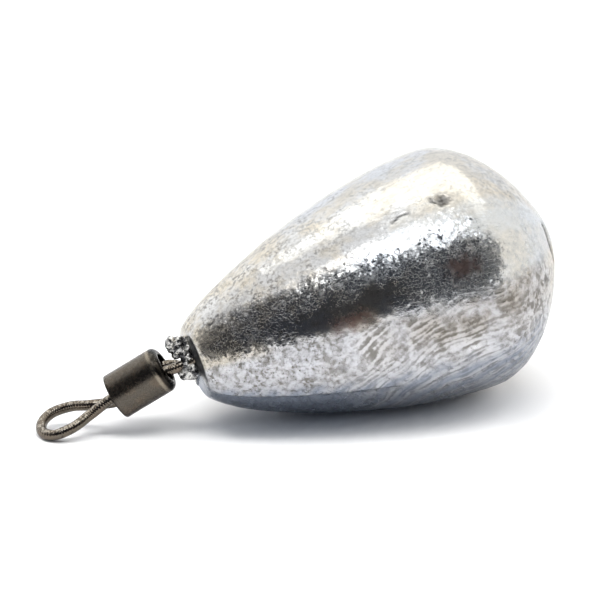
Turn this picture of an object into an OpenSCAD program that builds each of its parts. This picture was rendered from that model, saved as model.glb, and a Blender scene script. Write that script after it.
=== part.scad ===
// Egg-shaped cast lead fishing sinker with a rolling swivel cast into its nose.
// It lies on its side on a small rest flat, with the swivel's eye down on the ground.

/* [Lead body] */
// Length of the lead from its nose face to its tail
body_l = 33.3; // [28:0.1:40]
// Largest diameter of the lead
body_d = 21.36; // [18:0.1:26]
// Distance of the largest diameter from the nose face
belly_x = 24.3; // [20:0.1:26]
// Diameter of the nose face out to its sharp corner
nose_d = 6.2; // [5.4:0.1:7.6]
// Radius that rounds the corner of the nose face
nose_r = 0.8; // [0.3:0.1:1.2]
// Angle between the axis and the flank where it leaves the nose
nose_angle = 52; // [42:1:58]
// How far the flank keeps straight behind the nose
nose_pull = 2.3; // [1.5:0.1:4]
// How far the outline runs level ahead of the largest diameter
belly_pull = 10.1; // [7:0.1:12]
// How far the outline runs level behind the largest diameter
tail_pull = 5; // [3:0.1:7]
// How far the tail runs square to the axis
tail_round = 2.6; // [1.5:0.1:5]
// Depth of the flat that the sinker rests on
rest_cut = 0.12; // [0.08:0.01:0.3]
// Size of the broken lump of lead that the pouring gate leaves on the nose
stub_d = 2.6; // [1.8:0.1:3.4]

/* [Swivel barrel] */
// Outer diameter of the barrel
barrel_d = 4.05; // [3.6:0.05:5]
// Length of the barrel over both ends
barrel_l = 5.05; // [4.8:0.1:7]
// Thickness of the barrel's tube wall
tube_wall = 0.45; // [0.3:0.05:0.6]
// Thickness of the barrel's two end walls
end_wall = 0.45; // [0.3:0.05:0.6]
// Length of the shoulder that is rolled in at the rear end
shoulder_l = 0.4; // [0.4:0.05:0.9]
// How far the rolled shoulder draws the rear end in, on the radius
shoulder_in = 0.45; // [0.3:0.05:0.55]
// Chamfer round the front end
front_chamfer = 0.15; // [0.05:0.05:0.3]

/* [Wire eyes] */
// Diameter of the wire
wire_d = 0.92; // [0.7:0.02:1]
// Gap between the two legs of an eye
leg_gap = 0.04; // [0.03:0.01:0.08]
// Clearance round the pair of legs in the hole of an end wall
hole_clear = 0.34; // [0.28:0.02:0.4]
// Clearance round a head inside the barrel
head_clear = 0.07; // [0.03:0.01:0.1]
// Endwise play between a head and the end wall that holds it
end_play = 0.06; // [0.03:0.01:0.1]
// Thickness of a head behind the middle of its ball
head_back = 0.2; // [0.1:0.05:0.4]
// Width of an eye's loop between the middles of the wire
loop_w = 3.2; // [2.6:0.1:4]
// Length of an eye from the end wall to the far side of its loop
eye_l = 7.4; // [6.5:0.1:9]
// Length of the close pair of legs outside the end wall
neck_l = 1.4; // [1.1:0.1:2]
// Part of a turn that the pair of legs makes before the loop
eye_twist = 61; // [30:1:75]
// Length over which the pair of legs makes that turn
twist_l = 2.6; // [1.8:0.1:3.6]
// Gap between the cast-in wire and the lead
cast_gap = 0.03; // [0.02:0.01:0.05]

/* [Pose at rest] */
// Length of the bare legs between the nose face and the barrel
leg_show = 2.3; // [1.6:0.1:3]
// How far the bare legs droop below the level on their way out
leg_pitch = 5; // [0:1:8]
// How far the cast-in legs are bent at the barrel
leg_bend = 22; // [14:1:24]
// How far the cast-in pair of legs leans over
pair_lean = 4; // [0:1:20]
// How far the barrel droops below the level
barrel_pitch = 31.5; // [26:1:34]
// How far the barrel points away to the side
barrel_yaw = 17; // [10:1:24]
// How far the head of the line eye droops below the barrel
line_tilt = 9; // [0:1:12]
// How far the line eye points away to the side
line_yaw = 15; // [8:1:22]
// How far the loop of the line eye leans over
line_lean = 13; // [0:1:25]

/* [Hidden] */

$fn = 64;
// Rings and sides of the swept wire
leg_steps = 9;
flare_steps = 9;
loop_steps = 14;
wire_sides = 12;
// Points on the two curves of the body's outline
front_steps = 26;
tail_steps = 16;
corner_steps = 5;

// One overrun serves every cut
overrun = wire_d;

// Sizes that follow from the ones above
barrel_bore = barrel_d - 2 * tube_wall;
head_d = barrel_bore - 2 * head_clear;
end_hole_d = 2 * wire_d + leg_gap + 2 * hole_clear;
pair_r = (wire_d + leg_gap) / 2;
seat_l = sqrt(pow(head_d / 2, 2) - pow(end_hole_d / 2, 2)) + end_play;
pivot_l = end_wall + seat_l;
loop_r = loop_w / 2;
loop_x = pivot_l + eye_l - wire_d / 2 - loop_r;

// A point on a cubic curve with end points a and d and handles b and c, and its direction
function cubic(a, b, c, d, t) =
    pow(1 - t, 3) * a + 3 * pow(1 - t, 2) * t * b + 3 * (1 - t) * t * t * c + pow(t, 3) * d;
function cubic_way(a, b, c, d, t) =
    pow(1 - t, 2) * (b - a) + 2 * (1 - t) * t * (c - b) + t * t * (d - c);

// Outline of the body as points of distance from the nose face and radius
nose_way = [cos(nose_angle), sin(nose_angle)];
corner_t = nose_r * tan((90 - nose_angle) / 2);
corner_mid = [nose_r, nose_d / 2 - corner_t];
front_a = [0, nose_d / 2] + corner_t * nose_way;
front_b = [0, nose_d / 2] + nose_pull * nose_way;
belly = [belly_x, body_d / 2];
front_c = belly - [belly_pull, 0];
tail_b = belly + [tail_pull, 0];
tail_c = [body_l, tail_round];
tail_d = [body_l, 0];
corner_arc = [for (i = [0 : corner_steps - 1])
    let (angle = 180 - (90 - nose_angle) * i / corner_steps)
    corner_mid + nose_r * [cos(angle), sin(angle)]];
front_curve = [for (i = [0 : front_steps]) cubic(front_a, front_b, front_c, belly, i / front_steps)];
tail_curve = [for (i = [1 : tail_steps]) cubic(belly, tail_b, tail_c, tail_d, i / tail_steps)];
outline = concat([[0, 0]], corner_arc, front_curve, tail_curve);

// Centre of mass of the body on its axis, from thin slices
slices = [for (i = [1 : len(outline) - 1])
    let (a = outline[i - 1], b = outline[i])
    [(b[0] - a[0]) * (a[1] * a[1] + b[1] * b[1]) / 2, (a[0] + b[0]) / 2]];
function total(v, i = 0) = i < len(v) ? v[i] + total(v, i + 1) : 0;
mass_x = total([for (s = slices) s[0] * s[1]]) / total([for (s = slices) s[0]]);

// The body rolls until the outline's nearest point to the centre of mass is at the bottom
function off_square(t) =
    (cubic(front_a, front_b, front_c, belly, t) - [mass_x, 0]) *
    cubic_way(front_a, front_b, front_c, belly, t);
function nearest(low, high, n) =
    let (mid = (low + high) / 2)
    n == 0 ? mid : off_square(mid) < 0 ? nearest(mid, high, n - 1) : nearest(low, mid, n - 1);
rest_point = cubic(front_a, front_b, front_c, belly, nearest(0, 1, 30));
body_tilt = atan((mass_x - rest_point[0]) / rest_point[1]);

// A direction or a place turned down by a pitch and then sideways by a yaw
function turned(v, pitch, yaw) =
    let (x = v[0] * cos(pitch) + v[2] * sin(pitch), z = v[2] * cos(pitch) - v[0] * sin(pitch))
    [x * cos(yaw) - v[1] * sin(yaw), x * sin(yaw) + v[1] * cos(yaw), z];

// An eye's own axis runs out of its head, and the cast-in one bends down past the end wall
bend_start = pivot_l - end_wall;
bend_l = 2 * end_wall;
function bent(p, bend) =
    let (turn = bend * max(0, min(1, (p[0] - bend_start) / bend_l)))
    let (past = max(0, p[0] - bend_start - bend_l))
    let (r = turn == 0 ? 0 : bend_l / (bend * PI / 180))
    turn == 0 ? p :
    [bend_start + (r + p[2]) * sin(turn) + past * cos(turn),
     p[1],
     (r + p[2]) * cos(turn) - r - past * sin(turn)];

// Where the legs leave the nose face, and the middles of the two heads
leg_foot = [
    -rest_point[0] * cos(body_tilt) - rest_point[1] * sin(body_tilt),
    0,
    rest_point[1] * cos(body_tilt) - rest_point[0] * sin(body_tilt) - rest_cut];
head_pitch = leg_pitch + leg_bend;
leg_run = bent([pivot_l + leg_show, 0, 0], leg_bend);
anchor_head = leg_foot - turned(leg_run, -head_pitch, -barrel_yaw);
barrel_way = turned([1, 0, 0], barrel_pitch, 180 - barrel_yaw);
line_head = anchor_head + (barrel_l - 2 * pivot_l) * barrel_way;

// The line eye is bent up at the barrel, just so far that its loop rests on the ground
line_pitch = barrel_pitch + line_tilt;
function foot(bend) =
    let (mid = line_head + turned(bent([loop_x, 0, 0], bend), line_pitch, 180 - line_yaw))
    let (along = sin(line_pitch + bend), across = sin(line_lean) * cos(line_pitch + bend))
    mid[2] - loop_r * norm([along, across]) - wire_d / 2;
function settled(low, high, n) =
    let (mid = (low + high) / 2)
    n == 0 ? mid : foot(mid) > 0 ? settled(mid, high, n - 1) : settled(low, mid, n - 1);
line_bend = settled(-line_pitch, 0, 30);

// Middle of an eye's wire as points of distance from the head's middle and half width
leg_start = head_d / 6;
flare_l = loop_x - pivot_l - neck_l;
flare_shares = [0.45, 0.55];
leg_line = [for (i = [0 : leg_steps - 1])
    [leg_start + (pivot_l + neck_l - leg_start) * i / leg_steps, pair_r]];
flare_line = [for (i = [0 : flare_steps - 1])
    cubic([pivot_l + neck_l, pair_r], [pivot_l + neck_l + flare_shares[0] * flare_l, pair_r],
        [loop_x - flare_shares[1] * flare_l, loop_r], [loop_x, loop_r], i / flare_steps)];
half_line = concat(leg_line, flare_line);
loop_line = concat(
    half_line,
    [for (i = [0 : loop_steps]) let (angle = 90 - 180 * i / loop_steps)
        [loop_x + loop_r * cos(angle), loop_r * sin(angle)]],
    [for (i = [len(half_line) - 1 : -1 : 0]) [half_line[i][0], -half_line[i][1]]]);

// The pair of legs turns between the end wall and the loop
function eased(t) = let (u = max(0, min(1, t))) u * u * (3 - 2 * u);
function wire_point(p, lean, bend) =
    let (turn = lean + eye_twist * (1 - eased((p[0] - pivot_l) / twist_l)))
    bent([p[0], p[1] * cos(turn), p[1] * sin(turn)], bend);
function wire_path(lean, bend) = [for (p = loop_line) wire_point(p, lean, bend)];

// Rings square to a path, with the first ring's sideways direction carried along it
function unit(v) = v / norm(v);
function ways(path) = [for (i = [0 : len(path) - 1])
    unit(path[min(i + 1, len(path) - 1)] - path[max(i - 1, 0)])];
function square_to(side, way) = unit(side - (side * way) * way);
function sides_along(way) =
    [for (i = 0, s = square_to([0, 1, 1], way[0]); i < len(way);
        i = i + 1, s = i < len(way) ? square_to(s, way[i]) : s) s];

module wire(path, d) {
    way = ways(path);
    side = sides_along(way);
    points = [for (i = [0 : len(path) - 1]) for (j = [0 : wire_sides - 1])
        let (angle = 360 * j / wire_sides)
        path[i] + d / 2 * (cos(angle) * side[i] + sin(angle) * cross(way[i], side[i]))];
    last = (len(path) - 1) * wire_sides;
    quads = [for (i = [0 : len(path) - 2]) for (j = [0 : wire_sides - 1])
        let (a = i * wire_sides + j, b = i * wire_sides + (j + 1) % wire_sides)
        each [[a, b + wire_sides, b], [a, a + wire_sides, b + wire_sides]]];
    caps = [
        [for (j = [0 : wire_sides - 1]) j],
        [for (j = [wire_sides - 1 : -1 : 0]) last + j]];
    polyhedron(points = points, faces = concat(quads, caps));
}

// An upset head whose ball seats on the inside of the end wall
module head() {
    rotate([0, 90, 0])
        intersection() {
            sphere(d = head_d);
            translate([0, 0, -head_back])
                cylinder(d = head_d + overrun, h = head_back + seat_l - end_play);
        }
}

module eye(lean, bend) {
    head();
    wire(wire_path(lean, bend), wire_d);
}

module place_anchor() {
    translate(anchor_head)
        rotate([0, -head_pitch, -barrel_yaw])
            children();
}

module place_barrel() {
    translate(anchor_head)
        rotate([0, barrel_pitch, 180 - barrel_yaw])
            children();
}

module place_line() {
    translate(line_head)
        rotate([0, line_pitch, 180 - line_yaw])
            children();
}

module place_body() {
    translate([0, 0, -rest_cut])
        rotate([0, -body_tilt, 0])
            translate([-rest_point[0], 0, rest_point[1]])
                children();
}

// Rough spatter round the legs and the drop beside them, out from the nose face, away and up
stub_shares = [
    [0.03, -0.18, -0.10, 0.64],
    [0.10, 0.22, 0.16, 0.60],
    [0.12, 0.06, 0.42, 0.46],
    [0.10, 0.12, -0.30, 0.36],
    [0.30, 0.14, 0.60, 0.34],
    [0.48, 0.18, 0.74, 0.32],
    [0.55, 0.20, 0.90, 0.30]];

module stub() {
    for (s = stub_shares)
        translate([-s[0], s[1], s[2]] * stub_d)
            sphere(d = s[3] * stub_d);
}

module lead_body() {
    color("silver")
        difference() {
            place_body() {
                rotate([0, 90, 0])
                    rotate_extrude()
                        polygon([for (p = outline) [p[1], p[0]]]);
                stub();
            }
            place_anchor()
                wire(wire_path(pair_lean - eye_twist, leg_bend), wire_d + 2 * cast_gap);
            translate([-body_l, -body_l, -body_d])
                cube([2 * body_l, 2 * body_l, body_d]);
        }
}

module anchor_eye() {
    color("dimgray")
        place_anchor()
            eye(pair_lean - eye_twist, leg_bend);
}

module swivel_barrel() {
    rear = -pivot_l;
    front = barrel_l - pivot_l;
    outer_r = barrel_d / 2;
    shoulder = [for (i = [0 : corner_steps]) let (angle = 90 * i / corner_steps)
        [outer_r - shoulder_in * (1 - sin(angle)), rear + shoulder_l * (1 - cos(angle))]];
    color("darkslategray")
        place_barrel()
            rotate([0, 90, 0])
                rotate_extrude()
                    polygon(concat(shoulder, [
                        [outer_r, front - front_chamfer],
                        [outer_r - front_chamfer, front],
                        [end_hole_d / 2, front],
                        [end_hole_d / 2, front - end_wall],
                        [barrel_bore / 2, front - end_wall],
                        [barrel_bore / 2, rear + end_wall],
                        [end_hole_d / 2, rear + end_wall],
                        [end_hole_d / 2, rear]]));
}

module line_eye() {
    color("dimgray")
        place_line()
            eye(-line_lean, line_bend);
}

echo(body_tilt = body_tilt, mass_x = mass_x, rest_point = rest_point, leg_foot = leg_foot);
echo(anchor_head = anchor_head, barrel_way = barrel_way, line_head = line_head, line_bend = line_bend);

lead_body();
anchor_eye();
swivel_barrel();
line_eye();
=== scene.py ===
# Cast lead fishing sinker with a rolling swivel, lying on a white table.
# Sizes are millimetres in the dictionaries and turn into metres where a mesh is made.
import math
import bmesh
import bpy
import numpy as np
from mathutils import Matrix, Vector, noise


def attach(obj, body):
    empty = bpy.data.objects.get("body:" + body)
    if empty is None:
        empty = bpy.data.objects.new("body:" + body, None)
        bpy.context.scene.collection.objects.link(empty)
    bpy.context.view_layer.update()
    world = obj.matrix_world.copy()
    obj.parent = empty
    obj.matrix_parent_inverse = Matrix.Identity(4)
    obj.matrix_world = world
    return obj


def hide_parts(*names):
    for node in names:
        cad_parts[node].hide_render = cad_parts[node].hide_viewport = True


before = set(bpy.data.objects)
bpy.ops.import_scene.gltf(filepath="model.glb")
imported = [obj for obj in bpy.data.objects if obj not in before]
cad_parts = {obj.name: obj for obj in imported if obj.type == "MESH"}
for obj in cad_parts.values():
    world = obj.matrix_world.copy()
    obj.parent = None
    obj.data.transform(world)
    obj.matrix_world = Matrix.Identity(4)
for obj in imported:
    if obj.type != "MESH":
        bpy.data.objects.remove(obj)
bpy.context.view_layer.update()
millimetre = 0.001


# Small helpers for objects, meshes and node materials

def addObject(name, data):
    piece = bpy.data.objects.new(name, data)
    bpy.context.scene.collection.objects.link(piece)
    return piece


def addMesh(name, points, faces, material, body, nodes=()):
    mesh = bpy.data.meshes.new(name)
    mesh.from_pydata([tuple(float(c) * millimetre for c in p) for p in points], [], faces)
    mesh.validate()
    mesh.shade_smooth()
    mesh.materials.append(material)
    piece = addObject(name, mesh)
    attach(piece, body)
    if nodes:
        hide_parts(*nodes)
    return piece


def addLayer(piece, name, values):
    piece.data.attributes.new(name, "FLOAT", "POINT").data.foreach_set("value", values)


def newMaterial(name):
    material = bpy.data.materials.new(name)
    material.use_nodes = True
    tree = material.node_tree
    tree.nodes.clear()
    return material, tree


def addNode(tree, kind, links=None, **settings):
    node = tree.nodes.new(kind)
    for key, value in settings.items():
        setattr(node, key, value)
    for key, value in (links or {}).items():
        socket = node.inputs[key]
        if isinstance(value, bpy.types.NodeSocket):
            tree.links.new(value, socket)
        else:
            socket.default_value = value
    return node


def layerNode(tree, name, output="Fac"):
    return addNode(tree, "ShaderNodeAttribute", attribute_name=name).outputs[output]


def noiseNode(tree, place, scale, detail=2.0, roughness=0.5, distortion=0.0):
    return addNode(tree, "ShaderNodeTexNoise", {"Vector": place, "Scale": scale, "Detail": detail,
                   "Roughness": roughness, "Distortion": distortion}).outputs["Fac"]


def stepNode(tree, value, low, high, toLow=0.0, toHigh=1.0):
    return addNode(tree, "ShaderNodeMapRange", {"Value": value, "From Min": low, "From Max": high,
                   "To Min": toLow, "To Max": toHigh}, interpolation_type="SMOOTHSTEP").outputs["Result"]


def mathNode(tree, operation, a, b=0.0, c=0.0):
    return addNode(tree, "ShaderNodeMath", {0: a, 1: b, 2: c}, operation=operation).outputs[0]


def chain(operation):
    def joined(tree, first, *others):
        for other in others:
            first = mathNode(tree, operation, first, other)
        return first
    return joined


times, plus, larger = (chain(operation) for operation in ("MULTIPLY", "ADD", "MAXIMUM"))


def timesPlus(tree, value, factor, rest):
    return mathNode(tree, "MULTIPLY_ADD", value, factor, rest)


def waveNode(tree, run, turn, drift):
    return mathNode(tree, "SINE", timesPlus(tree, run, turn, drift))


def vectorNode(tree, operation, a, b, output="Vector"):
    return addNode(tree, "ShaderNodeVectorMath", {0: a, 1: b}, operation=operation).outputs[output]


def mixColour(tree, factor, a, b, blend="MIX"):
    node = addNode(tree, "ShaderNodeMix", data_type="RGBA", blend_type=blend)
    for socket, value in ((node.inputs[0], factor), (node.inputs[6], a), (node.inputs[7], b)):
        if isinstance(value, bpy.types.NodeSocket):
            tree.links.new(value, socket)
        elif socket == node.inputs[0]:
            socket.default_value = value
        else:
            socket.default_value = (*value, 1.0)
    return node.outputs[2]


def metalSurface(tree, colour, rough, height, strength=1.0, distance=1.0):
    bump = addNode(tree, "ShaderNodeBump", {"Height": height, "Strength": strength, "Distance": distance})
    shader = addNode(tree, "ShaderNodeBsdfPrincipled", {"Base Color": colour, "Metallic": 1.0,
                     "Roughness": rough, "Normal": bump.outputs["Normal"]})
    addNode(tree, "ShaderNodeOutputMaterial", {"Surface": shader.outputs["BSDF"]})


def smooth(low, high, value):
    t = min(max((value - low) / (high - low), 0.0), 1.0)
    return t * t * (3 - 2 * t)


def ripple(p, height, size, shift=(0, 0, 0)):
    return height * noise.noise(p / size + Vector(shift))


def share(least, more, value):
    return least + more * value


# Lead casting

leadShape = {
    "length": 33.3, "diameter": 21.36, "bellyAt": 24.3,
    "noseDiameter": 6.2, "noseRadius": 0.8, "noseAngle": 52,
    "nosePull": 2.3, "bellyPull": 10.1, "tailPull": 5.0, "tailRound": 2.6,
    "restAt": (16.3314, 9.72961), "restCut": 0.12, "tilt": 12.2285,
    "rings": 268, "sides": 352,
}


def cubic(a, b, c, d, t):
    a, b, c, d = (np.asarray(v, float) for v in (a, b, c, d))
    t = np.asarray(t)[:, None]
    return (1 - t) ** 3 * a + 3 * (1 - t) ** 2 * t * b + 3 * (1 - t) * t * t * c + t ** 3 * d


def leadOutline(shape):
    # Nose face, rounded corner, long front curve and short tail curve, with evenly spaced points
    cornerSteps, frontSteps, tailSteps = 40, 900, 600
    lean = math.radians(shape["noseAngle"])
    way = np.array([math.cos(lean), math.sin(lean)])
    noseR, rim = shape["noseRadius"], shape["noseDiameter"] / 2
    cut = noseR * math.tan(math.radians((90 - shape["noseAngle"]) / 2))
    turn = np.radians(np.linspace(180, 90 + shape["noseAngle"], cornerSteps))
    corner = np.array([noseR, rim - cut]) + noseR * np.c_[np.cos(turn), np.sin(turn)]
    belly = np.array([shape["bellyAt"], shape["diameter"] / 2])
    front = cubic((0, rim) + cut * way, (0, rim) + shape["nosePull"] * way,
                  belly - (shape["bellyPull"], 0), belly, np.linspace(0, 1, frontSteps))
    tail = cubic(belly, belly + (shape["tailPull"], 0), (shape["length"], shape["tailRound"]),
                 (shape["length"], 0), np.linspace(0, 1, tailSteps))
    line = np.vstack([[[0, 0]], corner, front[1:], tail[1:]])
    along = np.r_[0, np.cumsum(np.hypot(*np.diff(line, axis=0).T))]
    places = np.linspace(0, along[-1], shape["rings"] + 2)
    line = np.c_[np.interp(places, along, line[:, 0]), np.interp(places, along, line[:, 1])]
    way = np.gradient(line, axis=0)
    out = np.c_[-way[:, 1], way[:, 0]]
    return line, out / np.linalg.norm(out, axis=1)[:, None]


def placeLead(x, y, z, shape=leadShape):
    # From the nose face and the lead's own axis to its place on the table, flat where it rests
    c, s = math.cos(math.radians(shape["tilt"])), math.sin(math.radians(shape["tilt"]))
    x, z = x - shape["restAt"][0], z + shape["restAt"][1]
    return x * c - z * s, y, max(x * s + z * c - shape["restCut"], 0.0)


# Marks on the lead are placed by distance from the nose face and by degrees round from the top.
# A zone is a pair: where it starts and where it is full. A wander is how far an edge strays, and the
# size of its waves. A share is what is there everywhere, and how much more where the zone is full.
leadMarks = {
    # Waves, dents and grain as height and size, and fibres as height and their two sizes
    "wave": (0.06, 7.0), "dent": (0.018, 2.1), "grain": (0.008, 0.42), "pebble": (0.0128, 0.95),
    "grainPatch": (1.0, 2.6), "grainPatchEdge": (-0.25, 0.35), "grainShare": (0.55, 0.9),
    "pebbleShare": (0.3, 1.0), "fibre": (0.010, 0.55, 1.3),
    # The duller lower half
    "lowerFrom": (70, 80), "lowerTo": (168, 150), "lowerTail": (32.4, 28.6),
    "lowerWander": (3.5, 1.4), "tailWander": (0.8, 1.2),
    # A darker, brown-grey zone where the lower half turns up to the belly
    "bellyDarkFrom": (72, 79), "bellyDarkTo": (104, 90), "bellyDarkAhead": (9, 20), "bellyDarkTail": (30.5, 27.5),
    # Cold-flow ridges sweep round one centre on the lower half, and run straight beyond it
    "ridge": 0.011, "ridgeWidth": 1.10, "ridgeCentre": (22.0, 12.0), "ridgeLean": 0.68,
    "ridgeLeanFrom": (2.0, 6.0), "ridgeAhead": (8.0, 13.0), "ridgeTail": (29.5, 24.0),
    "ridgeTop": (-1.5, 1.5), "ridgeBroken": (-0.30, 0.30), "ridgePatch": 2.0,
    "ridgeWander": (0.60, 2.8), "ridgeShake": (0.09, 0.9), "slowRidge": 1.2, "grooveShare": (0.35, 0.65),
    # Parting seam with a small step, and painted shade under it: a bluish reflection of the shaded table
    "seamAngle": 117, "seamHeight": 0.05, "seamStep": 0.06, "seamWidth": 0.09, "seamFall": 0.12,
    "seamWander": (0.06, 1.5), "seamStrong": (20, 12), "seamReach": (19, 11), "seamEdge": 0.12,
    "seamShare": (0.3, 0.7), "seamUneven": (0.55, 0.6), "seamUnevenSize": 1.1, "seamStepFade": (4.5, 1.5),
    "seamFallFade": (5.0, 2.0), "seamFallLength": 0.6,
    "paintedShadeEdge": 0.08, "paintedShadeReach": (16, 10), "paintedShadeWander": (2, 1.3),
    "blueFrom": (103, 116), "blueTail": (31, 27), "blueEnd": 170, "blueBand": 1.75, "blueWander": (6, 1.6),
    "blueShare": (0.62, 0.30),
    # Pits: along, round, size, depth and darkness
    "pits": [(22.9, 30.3, 0.66, 0.15, 0.92), (29.8, 91.2, 0.40, 0.08, 0.45), (10.4, 98.1, 0.46, 0.05, 0.45),
             (19.3, 7.2, 0.20, 0.05, 0.3), (14.6, 104.0, 0.28, 0.04, 0.12), (24.6, 84.0, 0.24, 0.04, 0.15)],
    "pitWander": (0.35, 0.35), "pitShake": (0.45, 0.18), "pitFloor": (0.6, 0.22),
    "pitReach": 2.4, "rimAt": 1.3, "rimWidth": 0.35, "rimHeight": 0.25,
    # Scratches: three points, width and depth, all between two angles
    "scratches": [((18.3, 30.3), (19.1, 28.6), (19.8, 29.2), 0.15, 0.10),
                  ((22.1, 26.8), (22.0, 28.6), (22.35, 29.6), 0.13, 0.08),
                  ((32.05, 50.0), (31.9, 76.0), (32.3, 108.0), 0.20, 0.19)],
    "scratchReach": 0.6, "scratchSide": (-20, 130),
    # Brown stains: along, round, length and width
    "stains": [(22.2, 63.0, 1.65, 1.15), (12.2, 69.6, 2.05, 0.85)], "stainEdge": (1.5, 0.3),
    "stainWander": (0.45, 0.7), "stainShake": (0.40, 0.25),
    # Dark nose face, and the chin that is drawn in under it
    "faceEdge": (0.12, 0.03), "faceWander": (0.04, 0.5), "faceTop": (-5, 25), "faceLow": (82, 108),
    "faceShare": (1.0, -0.9),
    "chinDepth": 0.12, "chinReach": (3.2, 0.2), "chinFrom": (92, 135),
    # Bright crystals on top, down the tail side and at the nose
    "crystalEdge": (62, 50), "crystalWander": (6, 1.2), "crystalTop": (36, 44),
    "crystalTail": (15, 19), "crystalTailTop": (30, 38), "crystalTailEdge": (84, 72),
    "crystalNose": (10.0, 3.5), "noseWander": (2, 1.5), "crystalNoseEdge": (95, 75),
    "crystalTopShare": (0.2, 0.8), "crystalTailFull": 0.75, "crystalNoseFull": 0.8, "noseShare": (1.0, -0.5),
}

leadLayers = ("dull", "lower", "groove", "stain", "spangle", "paintedTableShade", "face", "bellyDarkening", "sweep")


def skinRelief(p, marks):
    # Soft waves, dents and a grain that is stronger in some patches
    patch = smooth(*marks["grainPatchEdge"], ripple(p, *marks["grainPatch"], (3, 8, 1)))
    height = ripple(p, *marks["wave"]) + ripple(p, *marks["dent"], (9, 2, 5))
    height += share(*marks["grainShare"], patch) * ripple(p, *marks["grain"], (1, 1, 4))
    return height + share(*marks["pebbleShare"], patch) * ripple(p, *marks["pebble"], (7, 4, 4))


def ridgeRelief(x, radius, turn, p, lower, marks):
    across = math.radians(turn - 90) * radius
    centre, patch = marks["ridgeCentre"], marks["ridgePatch"]
    ahead = max(x - centre[0], 0.0) * marks["ridgeLean"] * smooth(*marks["ridgeLeanFrom"], across)
    sweep = math.hypot(min(x - centre[0], 0.0), across - centre[1] + ahead)
    sweep += ripple(p, *marks["ridgeWander"]) + ripple(p, *marks["ridgeShake"], (5, 5, 5))
    field = lower * smooth(*marks["ridgeAhead"], x) * smooth(*marks["ridgeTail"], x)
    broken = smooth(*marks["ridgeBroken"], noise.noise(Vector((x / patch, across / patch, 4.0))))
    turns = math.pi * sweep / marks["ridgeWidth"]
    height = broken * math.sin(2 * turns) + marks["slowRidge"] * math.sin(turns + 1.0)
    height *= marks["ridge"] * field * smooth(*marks["ridgeTop"], across)
    fibre, long, wide = marks["fibre"]
    height += fibre * lower * noise.noise(Vector((x / long, across / wide, 2.0)))
    return height, field * share(*marks["grooveShare"], broken), sweep


def seamRelief(x, radius, turn, p, sweep, marks):
    side = radius * math.sin(math.radians(turn - marks["seamAngle"]))
    near = math.cos(math.radians(turn - marks["seamAngle"])) > 0
    wander, size = marks["seamWander"]
    side += wander * noise.noise(Vector((x / size, 0, 3 if near else 7)))
    line = math.exp(-(side / marks["seamWidth"]) ** 2)
    line *= share(*marks["seamShare"], smooth(*marks["seamStrong"], x))
    uneven = noise.noise(Vector((x / marks["seamUnevenSize"], 2, 2)))
    height = marks["seamHeight"] * line * share(*marks["seamUneven"], uneven)
    paintedTableShade = 0.0
    if near:
        reach = smooth(*marks["seamReach"], x)
        edge, soft = marks["seamEdge"], marks["paintedShadeEdge"]
        fall = marks["seamFall"] * (1 - math.exp(-max(side, 0) / marks["seamFallLength"]))
        height -= reach * marks["seamStep"] * smooth(-edge, edge, side) * smooth(*marks["seamStepFade"], side)
        height -= reach * fall * smooth(*marks["seamFallFade"], side)
        # Painted shade: the bluish reflection of the shaded table, painted below the seam
        paintedTableShade = smooth(-soft, soft, side)
        paintedTableShade *= smooth(*marks["paintedShadeReach"], x + ripple(p, *marks["paintedShadeWander"]))
    # Painted shade: a bluish band low on the lead for the table's shadow in reflection, with lobes along the
    # ridges
    paintedBlueShade = smooth(*marks["blueFrom"], turn + ripple(p, *marks["blueWander"]))
    paintedBlueShade *= smooth(*marks["blueTail"], x)
    band = math.sin(2 * math.pi * sweep / marks["blueBand"])
    paintedBlueShade *= (turn < marks["blueEnd"]) * share(*marks["blueShare"], band)
    return height, max(paintedTableShade, paintedBlueShade)


def arcGap(x, angle, radius, line):
    # Distance from a point to a line of three points, with the degrees unrolled to millimetres
    best = 9.0
    for a, b in zip(line, line[1:]):
        ax, ay = a[0], math.radians(a[1]) * radius
        bx, by = b[0], math.radians(b[1]) * radius
        px, py = x - ax, math.radians(angle) * radius - ay
        dx, dy = bx - ax, by - ay
        t = min(max((px * dx + py * dy) / (dx * dx + dy * dy), 0.0), 1.0)
        best = min(best, math.hypot(px - t * dx, py - t * dy))
    return best


def pitRelief(x, radius, turn, p, marks):
    # Pits have a low raised rim. Pits and scratches are dull inside.
    height = dull = 0.0
    for along, around, size, depth, dark in marks["pits"]:
        gap = math.hypot(x - along, math.radians(turn - around) * radius)
        if gap < marks["pitReach"] * size:
            gap *= 1 + ripple(p, *marks["pitWander"]) + ripple(p, *marks["pitShake"])
            inside = math.exp(-(gap / size) ** 4)
            height -= depth * inside * (1 + ripple(p, *marks["pitFloor"]))
            rim = (gap - marks["rimAt"] * size) / (marks["rimWidth"] * size)
            height += marks["rimHeight"] * depth * math.exp(-rim ** 2)
            dull = max(dull, dark * inside)
    reach, (least, most) = marks["scratchReach"], marks["scratchSide"]
    for *line, width, depth in marks["scratches"]:
        start, end = min(a for a, b in line) - reach, max(a for a, b in line) + reach
        if start < x < end and least < turn < most:
            inside = math.exp(-(arcGap(x, turn, radius, line) / width) ** 2)
            height -= depth * inside
            dull = max(dull, inside)
    return height, dull


def stainLayer(x, radius, turn, p, marks):
    stain = 0.0
    for along, around, length, width in marks["stains"]:
        gap = math.hypot((x - along) / length, math.radians(turn - around) * radius / width)
        gap += ripple(p, *marks["stainWander"]) + ripple(p, *marks["stainShake"])
        stain = max(stain, smooth(*marks["stainEdge"], gap))
    return stain


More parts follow.
